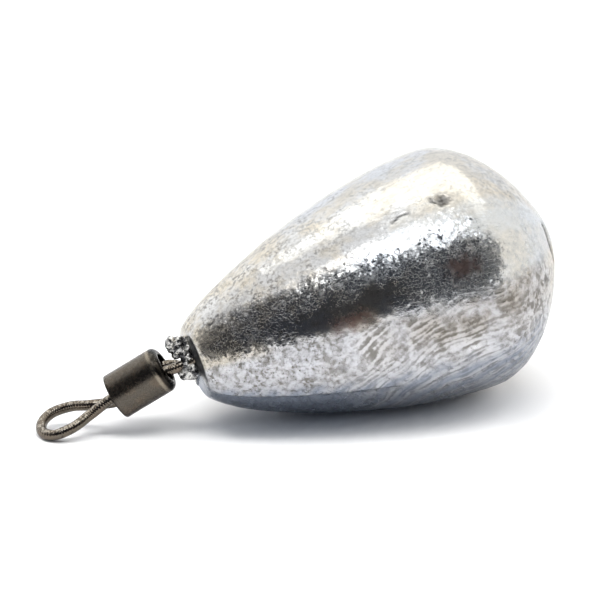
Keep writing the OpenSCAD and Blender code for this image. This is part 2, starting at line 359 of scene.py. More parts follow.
def crystalLayer(x, turn, p, marks):
    away = abs(turn)
    top = smooth(*marks["crystalEdge"], away + ripple(p, *marks["crystalWander"]))
    top *= share(*marks["crystalTopShare"], smooth(*marks["crystalTop"], away))
    tail = marks["crystalTailFull"] * smooth(*marks["crystalTail"], x)
    tail *= smooth(*marks["crystalTailTop"], away) * smooth(*marks["crystalTailEdge"], away)
    nose = smooth(*marks["crystalNose"], x + ripple(p, *marks["noseWander"]))
    front = marks["crystalNoseFull"] * nose * smooth(*marks["crystalNoseEdge"], away)
    return max(max(top, tail) * share(*marks["noseShare"], nose), front)


def leadRelief(x, radius, angle, y, z, marks=leadMarks):
    # Height of the casting's skin over the plain turned form, then the values that leadLayers names
    p = Vector((x, y, z))
    turn = (angle + 180) % 360 - 180
    lower = smooth(*marks["lowerFrom"], turn + ripple(p, *marks["lowerWander"]))
    lower *= smooth(*marks["lowerTo"], abs(turn))
    lower *= smooth(*marks["lowerTail"], x + ripple(p, *marks["tailWander"]))
    bellyDarkening = smooth(*marks["bellyDarkFrom"], turn) * smooth(*marks["bellyDarkTo"], turn)
    bellyDarkening *= smooth(*marks["bellyDarkAhead"], x) * smooth(*marks["bellyDarkTail"], x)
    ridges, groove, sweep = ridgeRelief(x, radius, turn, p, lower, marks)
    seam, paintedTableShade = seamRelief(x, radius, turn, p, sweep, marks)
    pits, dull = pitRelief(x, radius, turn, p, marks)
    chin = marks["chinDepth"] * smooth(*marks["chinReach"], x) * smooth(*marks["chinFrom"], abs(turn))
    face = smooth(*marks["faceEdge"], x + ripple(p, *marks["faceWander"]))
    face *= smooth(*marks["faceTop"], turn) * share(*marks["faceShare"], smooth(*marks["faceLow"], turn))
    stain = stainLayer(x, radius, turn, p, marks)
    spangle = crystalLayer(x, turn, p, marks)
    height = skinRelief(p, marks) + ridges + seam + pits - chin
    return height, (dull, lower, groove, stain, spangle, paintedTableShade, face, bellyDarkening, sweep)


def makeLead(material):
    line, out = leadOutline(leadShape)
    sides = leadShape["sides"]
    points, marked = [], []
    for (x, radius), (outX, outR) in zip(line[1:-1], out[1:-1]):
        fade = smooth(0.0, 1.2, radius)
        for j in range(sides):
            angle = 360 * j / sides
            s, c = math.sin(math.radians(angle)), math.cos(math.radians(angle))
            height, kinds = leadRelief(x, radius, angle, -radius * s, radius * c)
            r, px = radius + outR * height * fade, x + outX * height * fade
            points.append(placeLead(px, -r * s, r * c))
            marked.append(kinds)
    rings = len(line) - 2
    faces = [(i * sides + j, i * sides + (j + 1) % sides, (i + 1) * sides + (j + 1) % sides,
              (i + 1) * sides + j) for i in range(rings - 1) for j in range(sides)]
    # One point closes each end. The nose's is half dark, as the middle of the nose face is.
    for end, ring, dark in ((line[0], 0, 0.5), (line[-1], rings - 1, 0.0)):
        tip = len(points)
        points.append(placeLead(end[0], 0.0, 0.0))
        marked.append(tuple(dark if name == "face" else 0.0 for name in leadLayers))
        for j in range(sides):
            a, b = ring * sides + j, ring * sides + (j + 1) % sides
            faces.append((tip, b, a) if ring == 0 else (tip, a, b))
    piece = addMesh("leadCasting", points, faces, material, "sinker", ["lead_body"])
    for name, values in zip(leadLayers, zip(*marked)):
        addLayer(piece, name, values)


# Noise is scale, detail, roughness and distortion. A step is where a value starts and ends, and
# what it turns into there. Places along the part are metres on the X axis.
leadFinish = {
    "bright": (0.70, 0.70, 0.70), "cool": (0.68, 0.69, 0.735), "dull": (0.235, 0.225, 0.21),
    # The under colour is painted shade: the bluish reflection of the shaded table below the lead
    "cream": (0.69, 0.63, 0.525), "paintedTableShade": (0.27, 0.32, 0.41), "crystal": (0.63, 0.68, 0.74),
    "pit": (0.02, 0.02, 0.02), "pitLight": (0.20, 0.195, 0.19), "stain": (0.150, 0.083, 0.070),
    "bellyDarkening": (0.64, 0.60, 0.54), "face": (0.060, 0.060, 0.065),
    # Ridge tones: the crest colour is a painted highlight, the valley colour painted shade with dirt in the
    # grooves
    "crestHighlight": (0.78, 0.78, 0.80), "valleyShadeAndDirt": (0.26, 0.25, 0.235),
    "cloudNoise": (260, 3, 0.5), "patchNoise": (620, 4, 0.6, 0.3), "wideNoise": (820, 4, 0.6, 0.4),
    "middleNoise": (1750, 3, 0.6, 0.3), "speckNoise": (3000, 3, 0.6), "flakeNoise": (1550, 4, 0.66),
    "grainNoise": (5600, 2, 0.5), "streakNoise": (1900, 3, 0.55), "streakStretch": (0.28, 1.0, 1.0),
    # Cream and grey clouds
    "creamStreak": 0.35, "creamStep": (0.53, 0.80, 0.0, 0.9), "lowerLessCream": 0.8,
    "tailStep": (0.0045, 0.0095), "tailCreamStep": (0.38, 0.60, 0.25, 0.60),
    # Dirt: specks, blotches and streaks
    "speckStep": (0.44, 0.66), "speckPatchStep": (0.38, 0.62, 0.25, 1.0),
    "lowerSpecks": 0.8, "noseSpeckStep": (0.001, -0.010, 0.55, 1.15),
    "wideBlotchStep": (0.44, 0.66, 0.0, 0.42), "middleBlotchStep": (0.42, 0.62, 0.0, 0.72),
    "lowerBlotch": 0.84, "tailBlotch": 0.56, "topBlotch": 0.16,
    "soilShare": 0.75, "streakStep": (0.50, 0.70, 0.0, 0.35), "grooveLessSoil": 0.45,
    # Cold-flow ridges
    "crestTurn": 11.42, "crestDrift": 9.0, "crestShare": 0.75,
    "fineTurn": 19.0, "fineDrift": 11.0, "fineShare": 0.25,
    "slowTurn": 7.1, "slowDrift": 8.0, "slowShare": 0.55,
    "ridgeTailStep": (0.003, 0.009, 1.0, 0.45), "ridgeBreakStep": (0.35, 0.65, 0.4, -0.4),
    "ridgeCloudStep": (0.38, 0.62, 0.7, -0.7), "ridgeToneStep": (-1.0, 0.9),
    "ridgePatchStep": (0.38, 0.60, 0.40, 0.95), "ridgeDepth": 0.000005,
    # Tints and marks
    "crystalTintStep": (-0.013, -0.004, 0.0, 0.75), "bellyDarkPatchStep": (0.36, 0.62, 0.35, 0.95),
    "paintedShadeShare": 0.75, "pitGrainStep": (0.40, 0.62), "stainShare": 0.85,
    # Gloss
    "soiledRough": 0.15, "lowerRough": 0.06, "stainRough": 0.45, "wornRough": 0.3,
    "flakeRoughStep": (0.40, 0.70, 0.0, 0.15), "polishStep": (0.3, 0.7, 0.09, 0.15),
    # Crystals and grain
    "crystalScale": 4200.0, "crystalSlope": (3.2, 0.3), "crystalPatchStep": (0.39, 0.61, 0.04, 0.155),
    "plateScale": 1900.0, "plateSlope": 0.06,
    "grainDepth": (0.000009, 0.000005), "grainPatchStep": (0.36, 0.64, 0.35, 1.2),
}


def leaningCells(tree, place, scale):
    # Small flat cells that lean each their own way: their height, and the square of how far they lean
    cells = addNode(tree, "ShaderNodeTexVoronoi", {"Vector": place, "Scale": scale})
    lean = vectorNode(tree, "SUBTRACT", cells.outputs["Color"], (0.5, 0.5, 0.5))
    off = vectorNode(tree, "SUBTRACT", place, cells.outputs["Position"])
    return (vectorNode(tree, "DOT_PRODUCT", lean, off, "Value"),
            vectorNode(tree, "DOT_PRODUCT", lean, lean, "Value"))


def leadMaterial(finish=leadFinish):
    material, tree = newMaterial("brightCastLead")

    def step(value, key):
        return stepNode(tree, value, *finish[key])

    place = addNode(tree, "ShaderNodeTexCoord").outputs["Object"]
    along = addNode(tree, "ShaderNodeSeparateXYZ", {0: place}).outputs["X"]
    stretched = addNode(tree, "ShaderNodeMapping", {"Vector": place, "Scale": finish["streakStretch"],
                        "Rotation": (0.0, math.radians(leadShape["tilt"]), 0.0)}).outputs["Vector"]
    pitted, lower, groove, stain, spangle, paintedTableShade, face, bellyDarkening, sweep = (
        layerNode(tree, name) for name in leadLayers)
    cloud, patch, wide, middle, speck, flake, grain = (
        noiseNode(tree, place, *finish[kind + "Noise"])
        for kind in ("cloud", "patch", "wide", "middle", "speck", "flake", "grain"))
    streak = noiseNode(tree, stretched, *finish["streakNoise"])

    # Cream and grey clouds, more cream at the tail and less below
    tail = step(along, "tailStep")
    cream = step(plus(tree, cloud, times(tree, streak, finish["creamStreak"])), "creamStep")
    cream = plus(tree, cream, times(tree, tail, step(patch, "tailCreamStep")))
    cream = times(tree, cream, timesPlus(tree, lower, -finish["lowerLessCream"], 1.0))
    colour = mixColour(tree, lower, finish["bright"], finish["cool"])
    colour = mixColour(tree, cream, colour, finish["cream"])

    # Dirt: specks below and towards the nose, blotches below and at the tail, and thin streaks
    speckZone = larger(tree, times(tree, lower, finish["lowerSpecks"]), step(along, "noseSpeckStep"))
    specks = times(tree, step(speck, "speckStep"), step(patch, "speckPatchStep"), speckZone)
    blotchZone = timesPlus(tree, tail, finish["tailBlotch"], finish["topBlotch"])
    blotchZone = timesPlus(tree, lower, finish["lowerBlotch"], blotchZone)
    blotches = plus(tree, step(wide, "wideBlotchStep"), step(middle, "middleBlotchStep"))
    blotches = times(tree, blotches, blotchZone)
    soiled = times(tree, plus(tree, specks, blotches), finish["soilShare"])
    soiled = mathNode(tree, "MINIMUM", larger(tree, soiled, step(streak, "streakStep")), 1.0)
    soiled = times(tree, soiled, timesPlus(tree, groove, -finish["grooveLessSoil"], 1.0))
    colour = mixColour(tree, soiled, colour, finish["dull"])

    # Cold-flow ridges: painted highlights on the crests and painted shade with dirt in the brown-grey valleys
    # along the sweep, weaker at the tail
    crestHighlight = waveNode(tree, sweep, finish["crestTurn"], times(tree, patch, finish["crestDrift"]))
    fine = waveNode(tree, sweep, finish["fineTurn"], times(tree, wide, finish["fineDrift"]))
    slow = waveNode(tree, sweep, finish["slowTurn"], times(tree, wide, finish["slowDrift"]))
    ridged = timesPlus(tree, fine, finish["fineShare"], times(tree, crestHighlight, finish["crestShare"]))
    ridged = timesPlus(tree, slow, finish["slowShare"], ridged)
    ridged = times(tree, ridged, step(along, "ridgeTailStep"))
    ridged = plus(tree, ridged, step(middle, "ridgeBreakStep"), step(wide, "ridgeCloudStep"))
    tone = mixColour(tree, step(ridged, "ridgeToneStep"), finish["valleyShadeAndDirt"], finish["crestHighlight"])
    colour = mixColour(tree, times(tree, groove, step(patch, "ridgePatchStep")), colour, tone)

    # Cool tint on the crystals, brown-grey where the lower half turns up to the belly, and painted shade
    # under it: the bluish reflection of the shaded table
    crystalTint = times(tree, spangle, step(along, "crystalTintStep"))
    colour = mixColour(tree, crystalTint, colour, finish["crystal"])
    bellyDarkTint = times(tree, bellyDarkening, step(patch, "bellyDarkPatchStep"))
    colour = mixColour(tree, bellyDarkTint, colour, finish["bellyDarkening"], "MULTIPLY")
    # Painted shade: bluish reflection of the shaded table under the seam and low on the lead
    colour = mixColour(tree, times(tree, paintedTableShade, finish["paintedShadeShare"]), colour, finish["paintedTableShade"])

    # Pits, stains and the nose face
    pitColour = mixColour(tree, step(speck, "pitGrainStep"), finish["pit"], finish["pitLight"])
    colour = mixColour(tree, pitted, colour, pitColour)
    colour = mixColour(tree, times(tree, stain, finish["stainShare"]), colour, finish["stain"])
    colour = mixColour(tree, face, colour, finish["face"])

    # Gloss: best on top, duller below, in dirt and marks, and uneven from crystal to crystal
    worn = larger(tree, pitted, times(tree, stain, finish["stainRough"]), face)
    rough = plus(tree, times(tree, soiled, finish["soiledRough"]), times(tree, lower, finish["lowerRough"]),
                 times(tree, worn, finish["wornRough"]), times(tree, step(flake, "flakeRoughStep"), spangle),
                 step(cloud, "polishStep"))

    # Skin: small crystals, wider plates, grain, and the finest of the ridges
    cellHeight, cellLean = leaningCells(tree, place, finish["crystalScale"])
    crystals = times(tree, cellHeight, timesPlus(tree, cellLean, *finish["crystalSlope"]),
                     times(tree, spangle, step(patch, "crystalPatchStep")))
    plates = times(tree, leaningCells(tree, place, finish["plateScale"])[0],
                   times(tree, spangle, finish["plateSlope"]))
    grainDepth = timesPlus(tree, larger(tree, spangle, lower), *finish["grainDepth"])
    grains = times(tree, grain, grainDepth, step(patch, "grainPatchStep"))
    ridges = times(tree, ridged, groove, finish["ridgeDepth"])
    metalSurface(tree, colour, rough, plus(tree, crystals, plates, grains, ridges))
    return material


makeLead(leadMaterial())
print("lead casting made")


# Broken lump that the pouring gate leaves on the nose face

gateLump = {
    # Distance out from the nose face, away to the far side, up, and diameter
    "blobs": [(0.30, -0.47, -0.26, 1.66), (0.10, 0.30, 0.60, 1.30), (0.20, 0.35, 1.70, 0.95),
              (1.33, 0.45, 2.59, 0.98), (1.38, 0.40, 1.95, 0.86), (1.46, 0.50, 2.23, 0.82),
              (0.67, 0.35, 2.42, 0.86), (0.20, 0.45, 2.35, 0.75), (0.80, 0.20, 1.90, 0.90),
              (1.23, 0.10, 1.38, 0.80), (0.64, 0.00, 1.34, 0.90), (0.66, -0.25, 0.67, 0.88),
              (0.95, -0.45, 0.10, 0.80), (1.22, -0.15, -0.23, 0.74), (0.95, -0.60, -0.47, 0.66),
              (1.22, -0.45, -0.55, 0.55), (0.23, -0.20, 1.02, 0.80), (0.12, 0.20, 1.68, 0.80)],
    "cell": 0.065, "rough": 0.085, "lumps": (1.0, 0.45), "crumbs": (0.6, 0.21),
    "tears": (1.3, 0.33), "tearLevel": 0.195,
}


def makeGateLump(lump, material):
    mesh = bmesh.new()
    for out, away, up, size in lump["blobs"]:
        spot = Vector(placeLead(-out, away, up)) * millimetre
        bmesh.ops.create_icosphere(mesh, subdivisions=4, radius=size / 2 * millimetre,
                                   matrix=Matrix.Translation(spot))
    data = bpy.data.meshes.new("gateLump")
    mesh.to_mesh(data)
    mesh.free()
    piece = addObject("gateLump", data)
    # The blobs are joined to one skin, which is then torn and crumbled along its normals
    remesh = piece.modifiers.new("join", "REMESH")
    remesh.mode, remesh.voxel_size = "VOXEL", lump["cell"] * millimetre
    shown = piece.evaluated_get(bpy.context.evaluated_depsgraph_get())
    joined = bpy.data.meshes.new_from_object(shown)
    piece.modifiers.clear()
    piece.data = joined
    joined.update()
    skin = [(v.co.copy(), v.normal.copy()) for v in joined.vertices]
    for vertex, (spot, normal) in zip(joined.vertices, skin):
        p = spot / millimetre
        shift = ripple(p, *lump["lumps"]) + ripple(p, *lump["crumbs"], (4, 4, 4))
        shift -= max(ripple(p, *lump["tears"], (8, 1, 6)) - lump["tearLevel"], 0)
        vertex.co = spot + normal * lump["rough"] * shift * millimetre
    joined.shade_smooth()
    joined.materials.clear()
    joined.materials.append(material)
    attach(piece, "sinker")


gateFinish = {
    "bright": (0.78, 0.77, 0.74), "dark": (0.08, 0.08, 0.085),
    "patchNoise": (1700, 3, 0.6), "patchStep": (0.41, 0.58),
    "grainNoise": (5200, 3, 0.6), "grainDepth": 0.00005, "grainStrength": 0.7,
    "polishStep": (0.3, 0.7, 0.16, 0.36),
}


def gateMaterial(finish=gateFinish):
    material, tree = newMaterial("tornLead")
    place = addNode(tree, "ShaderNodeTexCoord").outputs["Object"]
    patch = stepNode(tree, noiseNode(tree, place, *finish["patchNoise"]), *finish["patchStep"])
    grain = noiseNode(tree, place, *finish["grainNoise"])
    colour = mixColour(tree, patch, finish["bright"], finish["dark"])
    rough = stepNode(tree, grain, *finish["polishStep"])
    metalSurface(tree, colour, rough, grain, finish["grainStrength"], finish["grainDepth"])
    return material


makeGateLump(gateLump, gateMaterial())
print("gate lump made")


# Swivel: barrel, cast-in eye and line eye

swivel = {
    "barrelDiameter": 4.05, "barrelLength": 5.05, "tubeWall": 0.45, "endWall": 0.45,
    "shoulderLength": 0.60, "shoulderIn": 0.60, "frontChamfer": 0.10, "holeLip": 0.08,
    "wire": 0.92, "legGap": 0.04, "holeClear": 0.34, "headClear": 0.07, "endPlay": 0.06, "headBack": 0.2,
    "loopWidth": 3.2, "eyeLength": 7.4, "neckLength": 1.4, "twist": 61, "twistLength": 2.6,
    "flareShares": (0.45, 0.55), "wireWear": (0.012, 0.9), "wireFineWear": (0.0036, 0.3), "tubeWear": 0.004,
    "barrelSides": 144, "headSides": 64, "wireSides": 32,
}
swivelPose = {
    "anchorHead": (-21.332, 1.01206, 5.13529), "anchorPitch": 27, "yaw": 17, "anchorLean": -57,
    "anchorBend": 22, "barrelPitch": 31.5, "lineHead": (-23.327, 1.62202, 3.85683), "linePitch": 40.5,
    "lineYaw": 15, "lineLean": -13, "lineBend": -19.7887,
}
bore = swivel["barrelDiameter"] - 2 * swivel["tubeWall"]
headSize = bore - 2 * swivel["headClear"]
holeSize = 2 * swivel["wire"] + swivel["legGap"] + 2 * swivel["holeClear"]
seat = math.sqrt((headSize / 2) ** 2 - (holeSize / 2) ** 2) + swivel["endPlay"]
pivot = swivel["endWall"] + seat
loopRadius = swivel["loopWidth"] / 2
loopAt = pivot + swivel["eyeLength"] - swivel["wire"] / 2 - loopRadius


def placement(spot, pitch, yaw):
    return (Matrix.Translation(Vector(spot)) @ Matrix.Rotation(math.radians(yaw), 4, "Z")
            @ Matrix.Rotation(math.radians(pitch), 4, "Y"))


anchorPlace = placement(swivelPose["anchorHead"], -swivelPose["anchorPitch"], -swivelPose["yaw"])
barrelPlace = placement(swivelPose["anchorHead"], swivelPose["barrelPitch"], 180 - swivelPose["yaw"])
linePlace = placement(swivelPose["lineHead"], swivelPose["linePitch"], 180 - swivelPose["lineYaw"])


def bent(point, bend):
    # Bends an eye's legs over a short length where they leave the barrel
    start, length = pivot - swivel["endWall"], 2 * swivel["endWall"]
    share = min(max((point[0] - start) / length, 0), 1)
    turn, radius = math.radians(bend) * share, length / math.radians(bend)
    past = max(point[0] - start - length, 0)
    if share == 0:
        return Vector(point)
    return Vector((start + (radius + point[2]) * math.sin(turn) + past * math.cos(turn), point[1],
                   (radius + point[2]) * math.cos(turn) - radius - past * math.sin(turn)))


def eyePath(lean, bend):
    # Middle line of one eye's wire: straight crossing legs, a flare, and the round end of the loop
    legSteps, flareSteps, loopSteps = 40, 40, 60
    pair = (swivel["wire"] + swivel["legGap"]) / 2
    start, neckEnd = headSize / 6, pivot + swivel["neckLength"]
    flare = loopAt - neckEnd
    legs = [(start + (neckEnd - start) * i / legSteps, pair) for i in range(legSteps)]
    curve = cubic((neckEnd, pair), (neckEnd + swivel["flareShares"][0] * flare, pair),
                  (loopAt - swivel["flareShares"][1] * flare, loopRadius), (loopAt, loopRadius),
                  np.linspace(0, 1, flareSteps + 1)[:-1])
    half = legs + [tuple(p) for p in curve]
    turns = np.radians(np.linspace(90, -90, loopSteps + 1))
    loop = [(loopAt + loopRadius * math.cos(a), loopRadius * math.sin(a)) for a in turns]
    line = half + loop + [(x, -y) for x, y in reversed(half)]
    path = []
    for x, y in line:
        crossing = swivel["twist"] * (1 - smooth(0, 1, (x - pivot) / swivel["twistLength"]))
        turn = math.radians(lean + crossing)
        path.append(bent((x, y * math.cos(turn), y * math.sin(turn)), bend))
    return path


def sweepWire(path, place):
    # A round wire along a path, a little uneven, with the distance along it for each point
    wire, sides = swivel["wire"], swivel["wireSides"]
    points, faces = [], []
    runs, run = [], 0.0
    way = [(path[min(i + 1, len(path) - 1)] - path[max(i - 1, 0)]).normalized() for i in range(len(path))]
    side = Vector((0, 1, 1))
    for i, spot in enumerate(path):
        run += (spot - path[max(i - 1, 0)]).length
        runs += [run] * sides
        side = (side - side.dot(way[i]) * way[i]).normalized()
        other = way[i].cross(side)
        for j in range(sides):
            a = 2 * math.pi * j / sides
            out = side * math.cos(a) + other * math.sin(a)
            p = spot + out * wire / 2
            radius = wire / 2 + ripple(p, *swivel["wireWear"]) + ripple(p, *swivel["wireFineWear"])
            points.append(place @ (spot + out * radius))
    for i in range(len(path) - 1):
        for j in range(sides):
            a, b = i * sides + j, i * sides + (j + 1) % sides
            faces.append((a, b, b + sides, a + sides))
    faces.append(tuple(range(sides - 1, -1, -1)))
    faces.append(tuple((len(path) - 1) * sides + j for j in range(sides)))
    return points, faces, runs


def turned(outline, place, sides, wear=0.0):
    # A closed outline of axial place and radius, turned round the local X axis
    points, faces = [], []
    for x, r in outline:
        for j in range(sides):
            a = 2 * math.pi * j / sides
            swell = wear * noise.noise(Vector((x / 1.5, math.cos(a) * 2, math.sin(a) * 2)))
            points.append(place @ Vector((x, (r + swell) * math.cos(a), (r + swell) * math.sin(a))))
    for i in range(len(outline)):
        k = (i + 1) % len(outline)
        for j in range(sides):
            n = (j + 1) % sides
            faces.append((i * sides + j, i * sides + n, k * sides + n, k * sides + j))
    return points, faces


def arcPoints(centre, radius, fromAngle, toAngle, steps):
    angles = np.radians(np.linspace(fromAngle, toAngle, steps + 1))
    return [(centre[0] + radius * math.cos(a), centre[1] + radius * math.sin(a)) for a in angles]


def spread(outline, step):
    # Extra points along the long straight runs, for even shading
    done = []
    for a, b in zip(outline, outline[1:] + outline[:1]):
        count = max(int(math.dist(a, b) / step), 1)
        done += [(a[0] + (b[0] - a[0]) * i / count, a[1] + (b[1] - a[1]) * i / count) for i in range(count)]
    return done


def barrelOutline():
    # Rolled rear shoulder, outside, front corner, then in through one hole and out of the other
    rear, front, outer = -pivot, swivel["barrelLength"] - pivot, swivel["barrelDiameter"] / 2
    hole, wall, chamfer = holeSize / 2, swivel["endWall"], swivel["frontChamfer"]
    into, long, lip = swivel["shoulderIn"], swivel["shoulderLength"], swivel["holeLip"]
    line = [(rear + long * (1 - math.cos(a)), outer - into * (1 - math.sin(a)))
            for a in np.linspace(0, math.pi / 2, 14)]
    line += arcPoints((front - chamfer, outer - chamfer), chamfer, 90, 0, 8)
    line += arcPoints((front - lip, hole + lip), lip, 0, -90, 6)
    line += arcPoints((front - wall + lip, hole + lip), lip, -90, -180, 6)
    line += [(front - wall, bore / 2), (rear + wall, bore / 2)]
    line += arcPoints((rear + wall - lip, hole + lip), lip, 0, -90, 6)
    line += arcPoints((rear + lip, hole + lip), lip, -90, -180, 6)
    return spread(line, 0.16)


def headOutline():
    back, ahead, r = -swivel["headBack"], seat - swivel["endPlay"], headSize / 2
    curve = [(x, math.sqrt(r * r - x * x)) for x in np.linspace(back, ahead, 18)]
    return [(back, 0.02)] + curve + [(ahead, 0.02)]


# The three tones of each plating are its common one, a warmer one and dark spots
barrelPlating = {
    "name": "bronzeNickelBarrel",
    "tones": ((0.118, 0.104, 0.087), (0.145, 0.118, 0.092), (0.060, 0.053, 0.045)),
    "spotShare": 0.22, "bareShare": 0.08, "rippleDepth": 0.0, "grainDepth": 0.000004, "polish": 0.22,
}
wirePlating = {
    "name": "bronzeNickelWire",
    "tones": ((0.165, 0.143, 0.115), (0.185, 0.150, 0.118), (0.065, 0.057, 0.048)),
    "spotShare": 0.60, "bareShare": 0.52, "rippleDepth": 0.000010, "grainDepth": 0.000020, "polish": 0.14,
}
swivelFinish = {
    # aged is painted shade on the barrel's shoulder and ends, and worn a painted highlight ring on the barrel
    "paintedEndShade": (0.030, 0.027, 0.023), "worn": (0.42, 0.37, 0.29), "bare": (0.52, 0.48, 0.42),
    "endShadeFront": (0.16, 0.04), "endShadeRim": (0.25, 0.35), "endShadeShoulder": 0.7,
    "rimHighlightAt": 1.15, "rimHighlightWidth": 0.10,
    "cloudNoise": (700, 3, 0.55), "cloudStep": (0.40, 0.66),
    "spotNoise": (2600, 3, 0.6), "spotStep": (0.56, 0.72),
    # The bare colour with its noise and step paints bright glints on upward faces
    "bareNoise": (3300, 2, 0.5), "bareStep": (0.44, 0.58), "upwardStep": (0.35, 0.75),
    "grainNoise": (3600, 3, 0.6), "polishStep": (0.3, 0.75), "polishSpread": 0.12,
    "rippleTurn": 26.0, "rippleDrift": 9.0, "driftNoise": (900, 2, 0.5),
    "rippleNoise": (1300, 2, 0.5), "rippleStep": (0.35, 0.6, 0.2, 1.0),
}


def barrelShadeAndHighlight(x, r, finish=swivelFinish):
    # Painted shade in the rolled shoulder and round the front end, and a painted highlight ring where the
    # shoulder starts
    rear, front, outer = -pivot, swivel["barrelLength"] - pivot, swivel["barrelDiameter"] / 2
    into, shoulder = x - rear, swivel["shoulderLength"]
    paintedEndShade = max(smooth(shoulder, finish["endShadeShoulder"] * shoulder, into),
               smooth(*(front - gap for gap in finish["endShadeFront"]), x),
               smooth(*(outer - gap for gap in finish["endShadeRim"]), r))
    worn = math.exp(-((into - finish["rimHighlightAt"] * shoulder) / finish["rimHighlightWidth"]) ** 2)
    return paintedEndShade, worn if r > outer - 0.1 else 0.0


def platedMaterial(plating, finish=swivelFinish):
    material, tree = newMaterial(plating["name"])

    def texture(key, place):
        return noiseNode(tree, place, *finish[key + "Noise"])

    where = addNode(tree, "ShaderNodeTexCoord").outputs
    place = where["Object"]
    paintedEndShade, worn, run = (layerNode(tree, key) for key in ("endShadeLayer", "worn", "run"))
    cloud = stepNode(tree, texture("cloud", place), *finish["cloudStep"])
    spots = stepNode(tree, texture("spot", place), *finish["spotStep"], 0.0, plating["spotShare"])
    common, warm, dark = plating["tones"]
    colour = mixColour(tree, spots, mixColour(tree, cloud, common, warm), dark)
    # Painted shade on the barrel's shoulder and ends, then its painted highlight ring
    colour = mixColour(tree, paintedEndShade, colour, finish["paintedEndShade"])
    colour = mixColour(tree, worn, colour, finish["worn"])
    # Painted glints: bright speckles on the upper side, where light from above catches the wire
    upward = addNode(tree, "ShaderNodeSeparateXYZ", {0: where["Normal"]}).outputs["Z"]
    bare = times(tree, stepNode(tree, upward, *finish["upwardStep"], 0.0, plating["bareShare"]),
                 stepNode(tree, texture("bare", place), *finish["bareStep"]))
    colour = mixColour(tree, bare, colour, finish["bare"])
    grain = texture("grain", place)
    polish = plating["polish"]
    rough = stepNode(tree, grain, *finish["polishStep"], polish, polish + finish["polishSpread"])
    # Drawing marks run across the wire and fade in and out
    drift = times(tree, texture("drift", place), finish["rippleDrift"])
    marks = waveNode(tree, run, finish["rippleTurn"], drift)
    marks = times(tree, marks, stepNode(tree, texture("ripple", place), *finish["rippleStep"]))
    height = plus(tree, times(tree, marks, plating["rippleDepth"]), times(tree, grain, plating["grainDepth"]))
    metalSurface(tree, colour, rough, height)
    return material


def makeSwivel():
    barrelMetal, wireMetal = platedMaterial(barrelPlating), platedMaterial(wirePlating)
    outline, sides = barrelOutline(), swivel["barrelSides"]
    points, faces = turned(outline, barrelPlace, sides, swivel["tubeWear"])
    tube = addMesh("swivelTube", points, faces, barrelMetal, "barrel", ["swivel_barrel"])
    endShadesAndRings = [barrelShadeAndHighlight(x, r) for x, r in outline for j in range(sides)]
    for name, values in zip(("endShadeLayer", "worn"), zip(*endShadesAndRings)):
        addLayer(tube, name, values)
    for name, body, node, place, lean, bend in (
            ("castInEye", "sinker", "anchor_eye", anchorPlace, swivelPose["anchorLean"],
             swivelPose["anchorBend"]),
            ("lineEye", "eye", "line_eye", linePlace, swivelPose["lineLean"], swivelPose["lineBend"])):
        points, faces, runs = sweepWire(eyePath(lean, bend), place)
        addLayer(addMesh(name, points, faces, wireMetal, body, [node]), "run", runs)
        points, faces = turned(headOutline(), place, swivel["headSides"])
        addMesh(name + "Head", points, faces, wireMetal, body)


makeSwivel()
print("swivel made")


# Table, sky, camera, reflected cards and lamps

studio = {
    "target": (0.0, 0.0, 7.88), "azimuth": -21.75, "elevation": 23.2, "distance": 350.0,
    "pixelsPerMillimetre": 11.655, "targetPixel": (391.55, 312.25), "frame": 600,
    "sensor": 36, "clip": (0.02, 20),
    "table": (0.72, 0.72, 0.72), "mirrorTable": (0.70, 0.70, 0.70), "seenTable": (1.0, 1.0, 1.0),
    "tableHalf": 1.6, "tableHeight": -0.01,
    "skyHigh": (0.14, 0.17, 0.22), "skyLow": (0.055, 0.068, 0.092), "skyStep": (0.1, 0.8),
    "seenSky": (1.0, 1.0, 1.0), "lampFar": 3.0, "lampColour": (1.0, 0.985, 0.965),
}


def makeCamera(plan=studio):
    a, e = math.radians(plan["azimuth"]), math.radians(plan["elevation"])
    back = Vector((math.sin(a) * math.cos(e), -math.cos(a) * math.cos(e), math.sin(e)))
    right = Vector((math.cos(a), math.sin(a), 0))
    up = back.cross(right)
    half = plan["frame"] / 2
    scale = plan["pixelsPerMillimetre"]
    x, y = (half - plan["targetPixel"][0]) / scale, (plan["targetPixel"][1] - half) / scale
    forward = (right * x + up * y - back * plan["distance"]).normalized()
    right = forward.cross(up).normalized()
    up = right.cross(forward)
    data = bpy.data.cameras.new("camera")
    data.sensor_width = plan["sensor"]
    data.lens = plan["sensor"] * scale * plan["distance"] / plan["frame"]
    data.clip_start, data.clip_end = plan["clip"]
    camera = addObject("camera", data)
    turn = Matrix((right, up, -forward)).transposed().to_4x4()
    spot = (Vector(plan["target"]) + back * plan["distance"]) * millimetre
    camera.matrix_world = Matrix.Translation(spot) @ turn
    bpy.context.scene.camera = camera


def seenRays(tree):
    # One for what the camera, a reflection or glass shows, nought for light on the table
    path = addNode(tree, "ShaderNodeLightPath").outputs
    seen = larger(tree, path["Is Camera Ray"], path["Is Glossy Ray"], path["Is Transmission Ray"])
    return times(tree, seen, mathNode(tree, "LESS_THAN", path["Diffuse Depth"], 0.5))


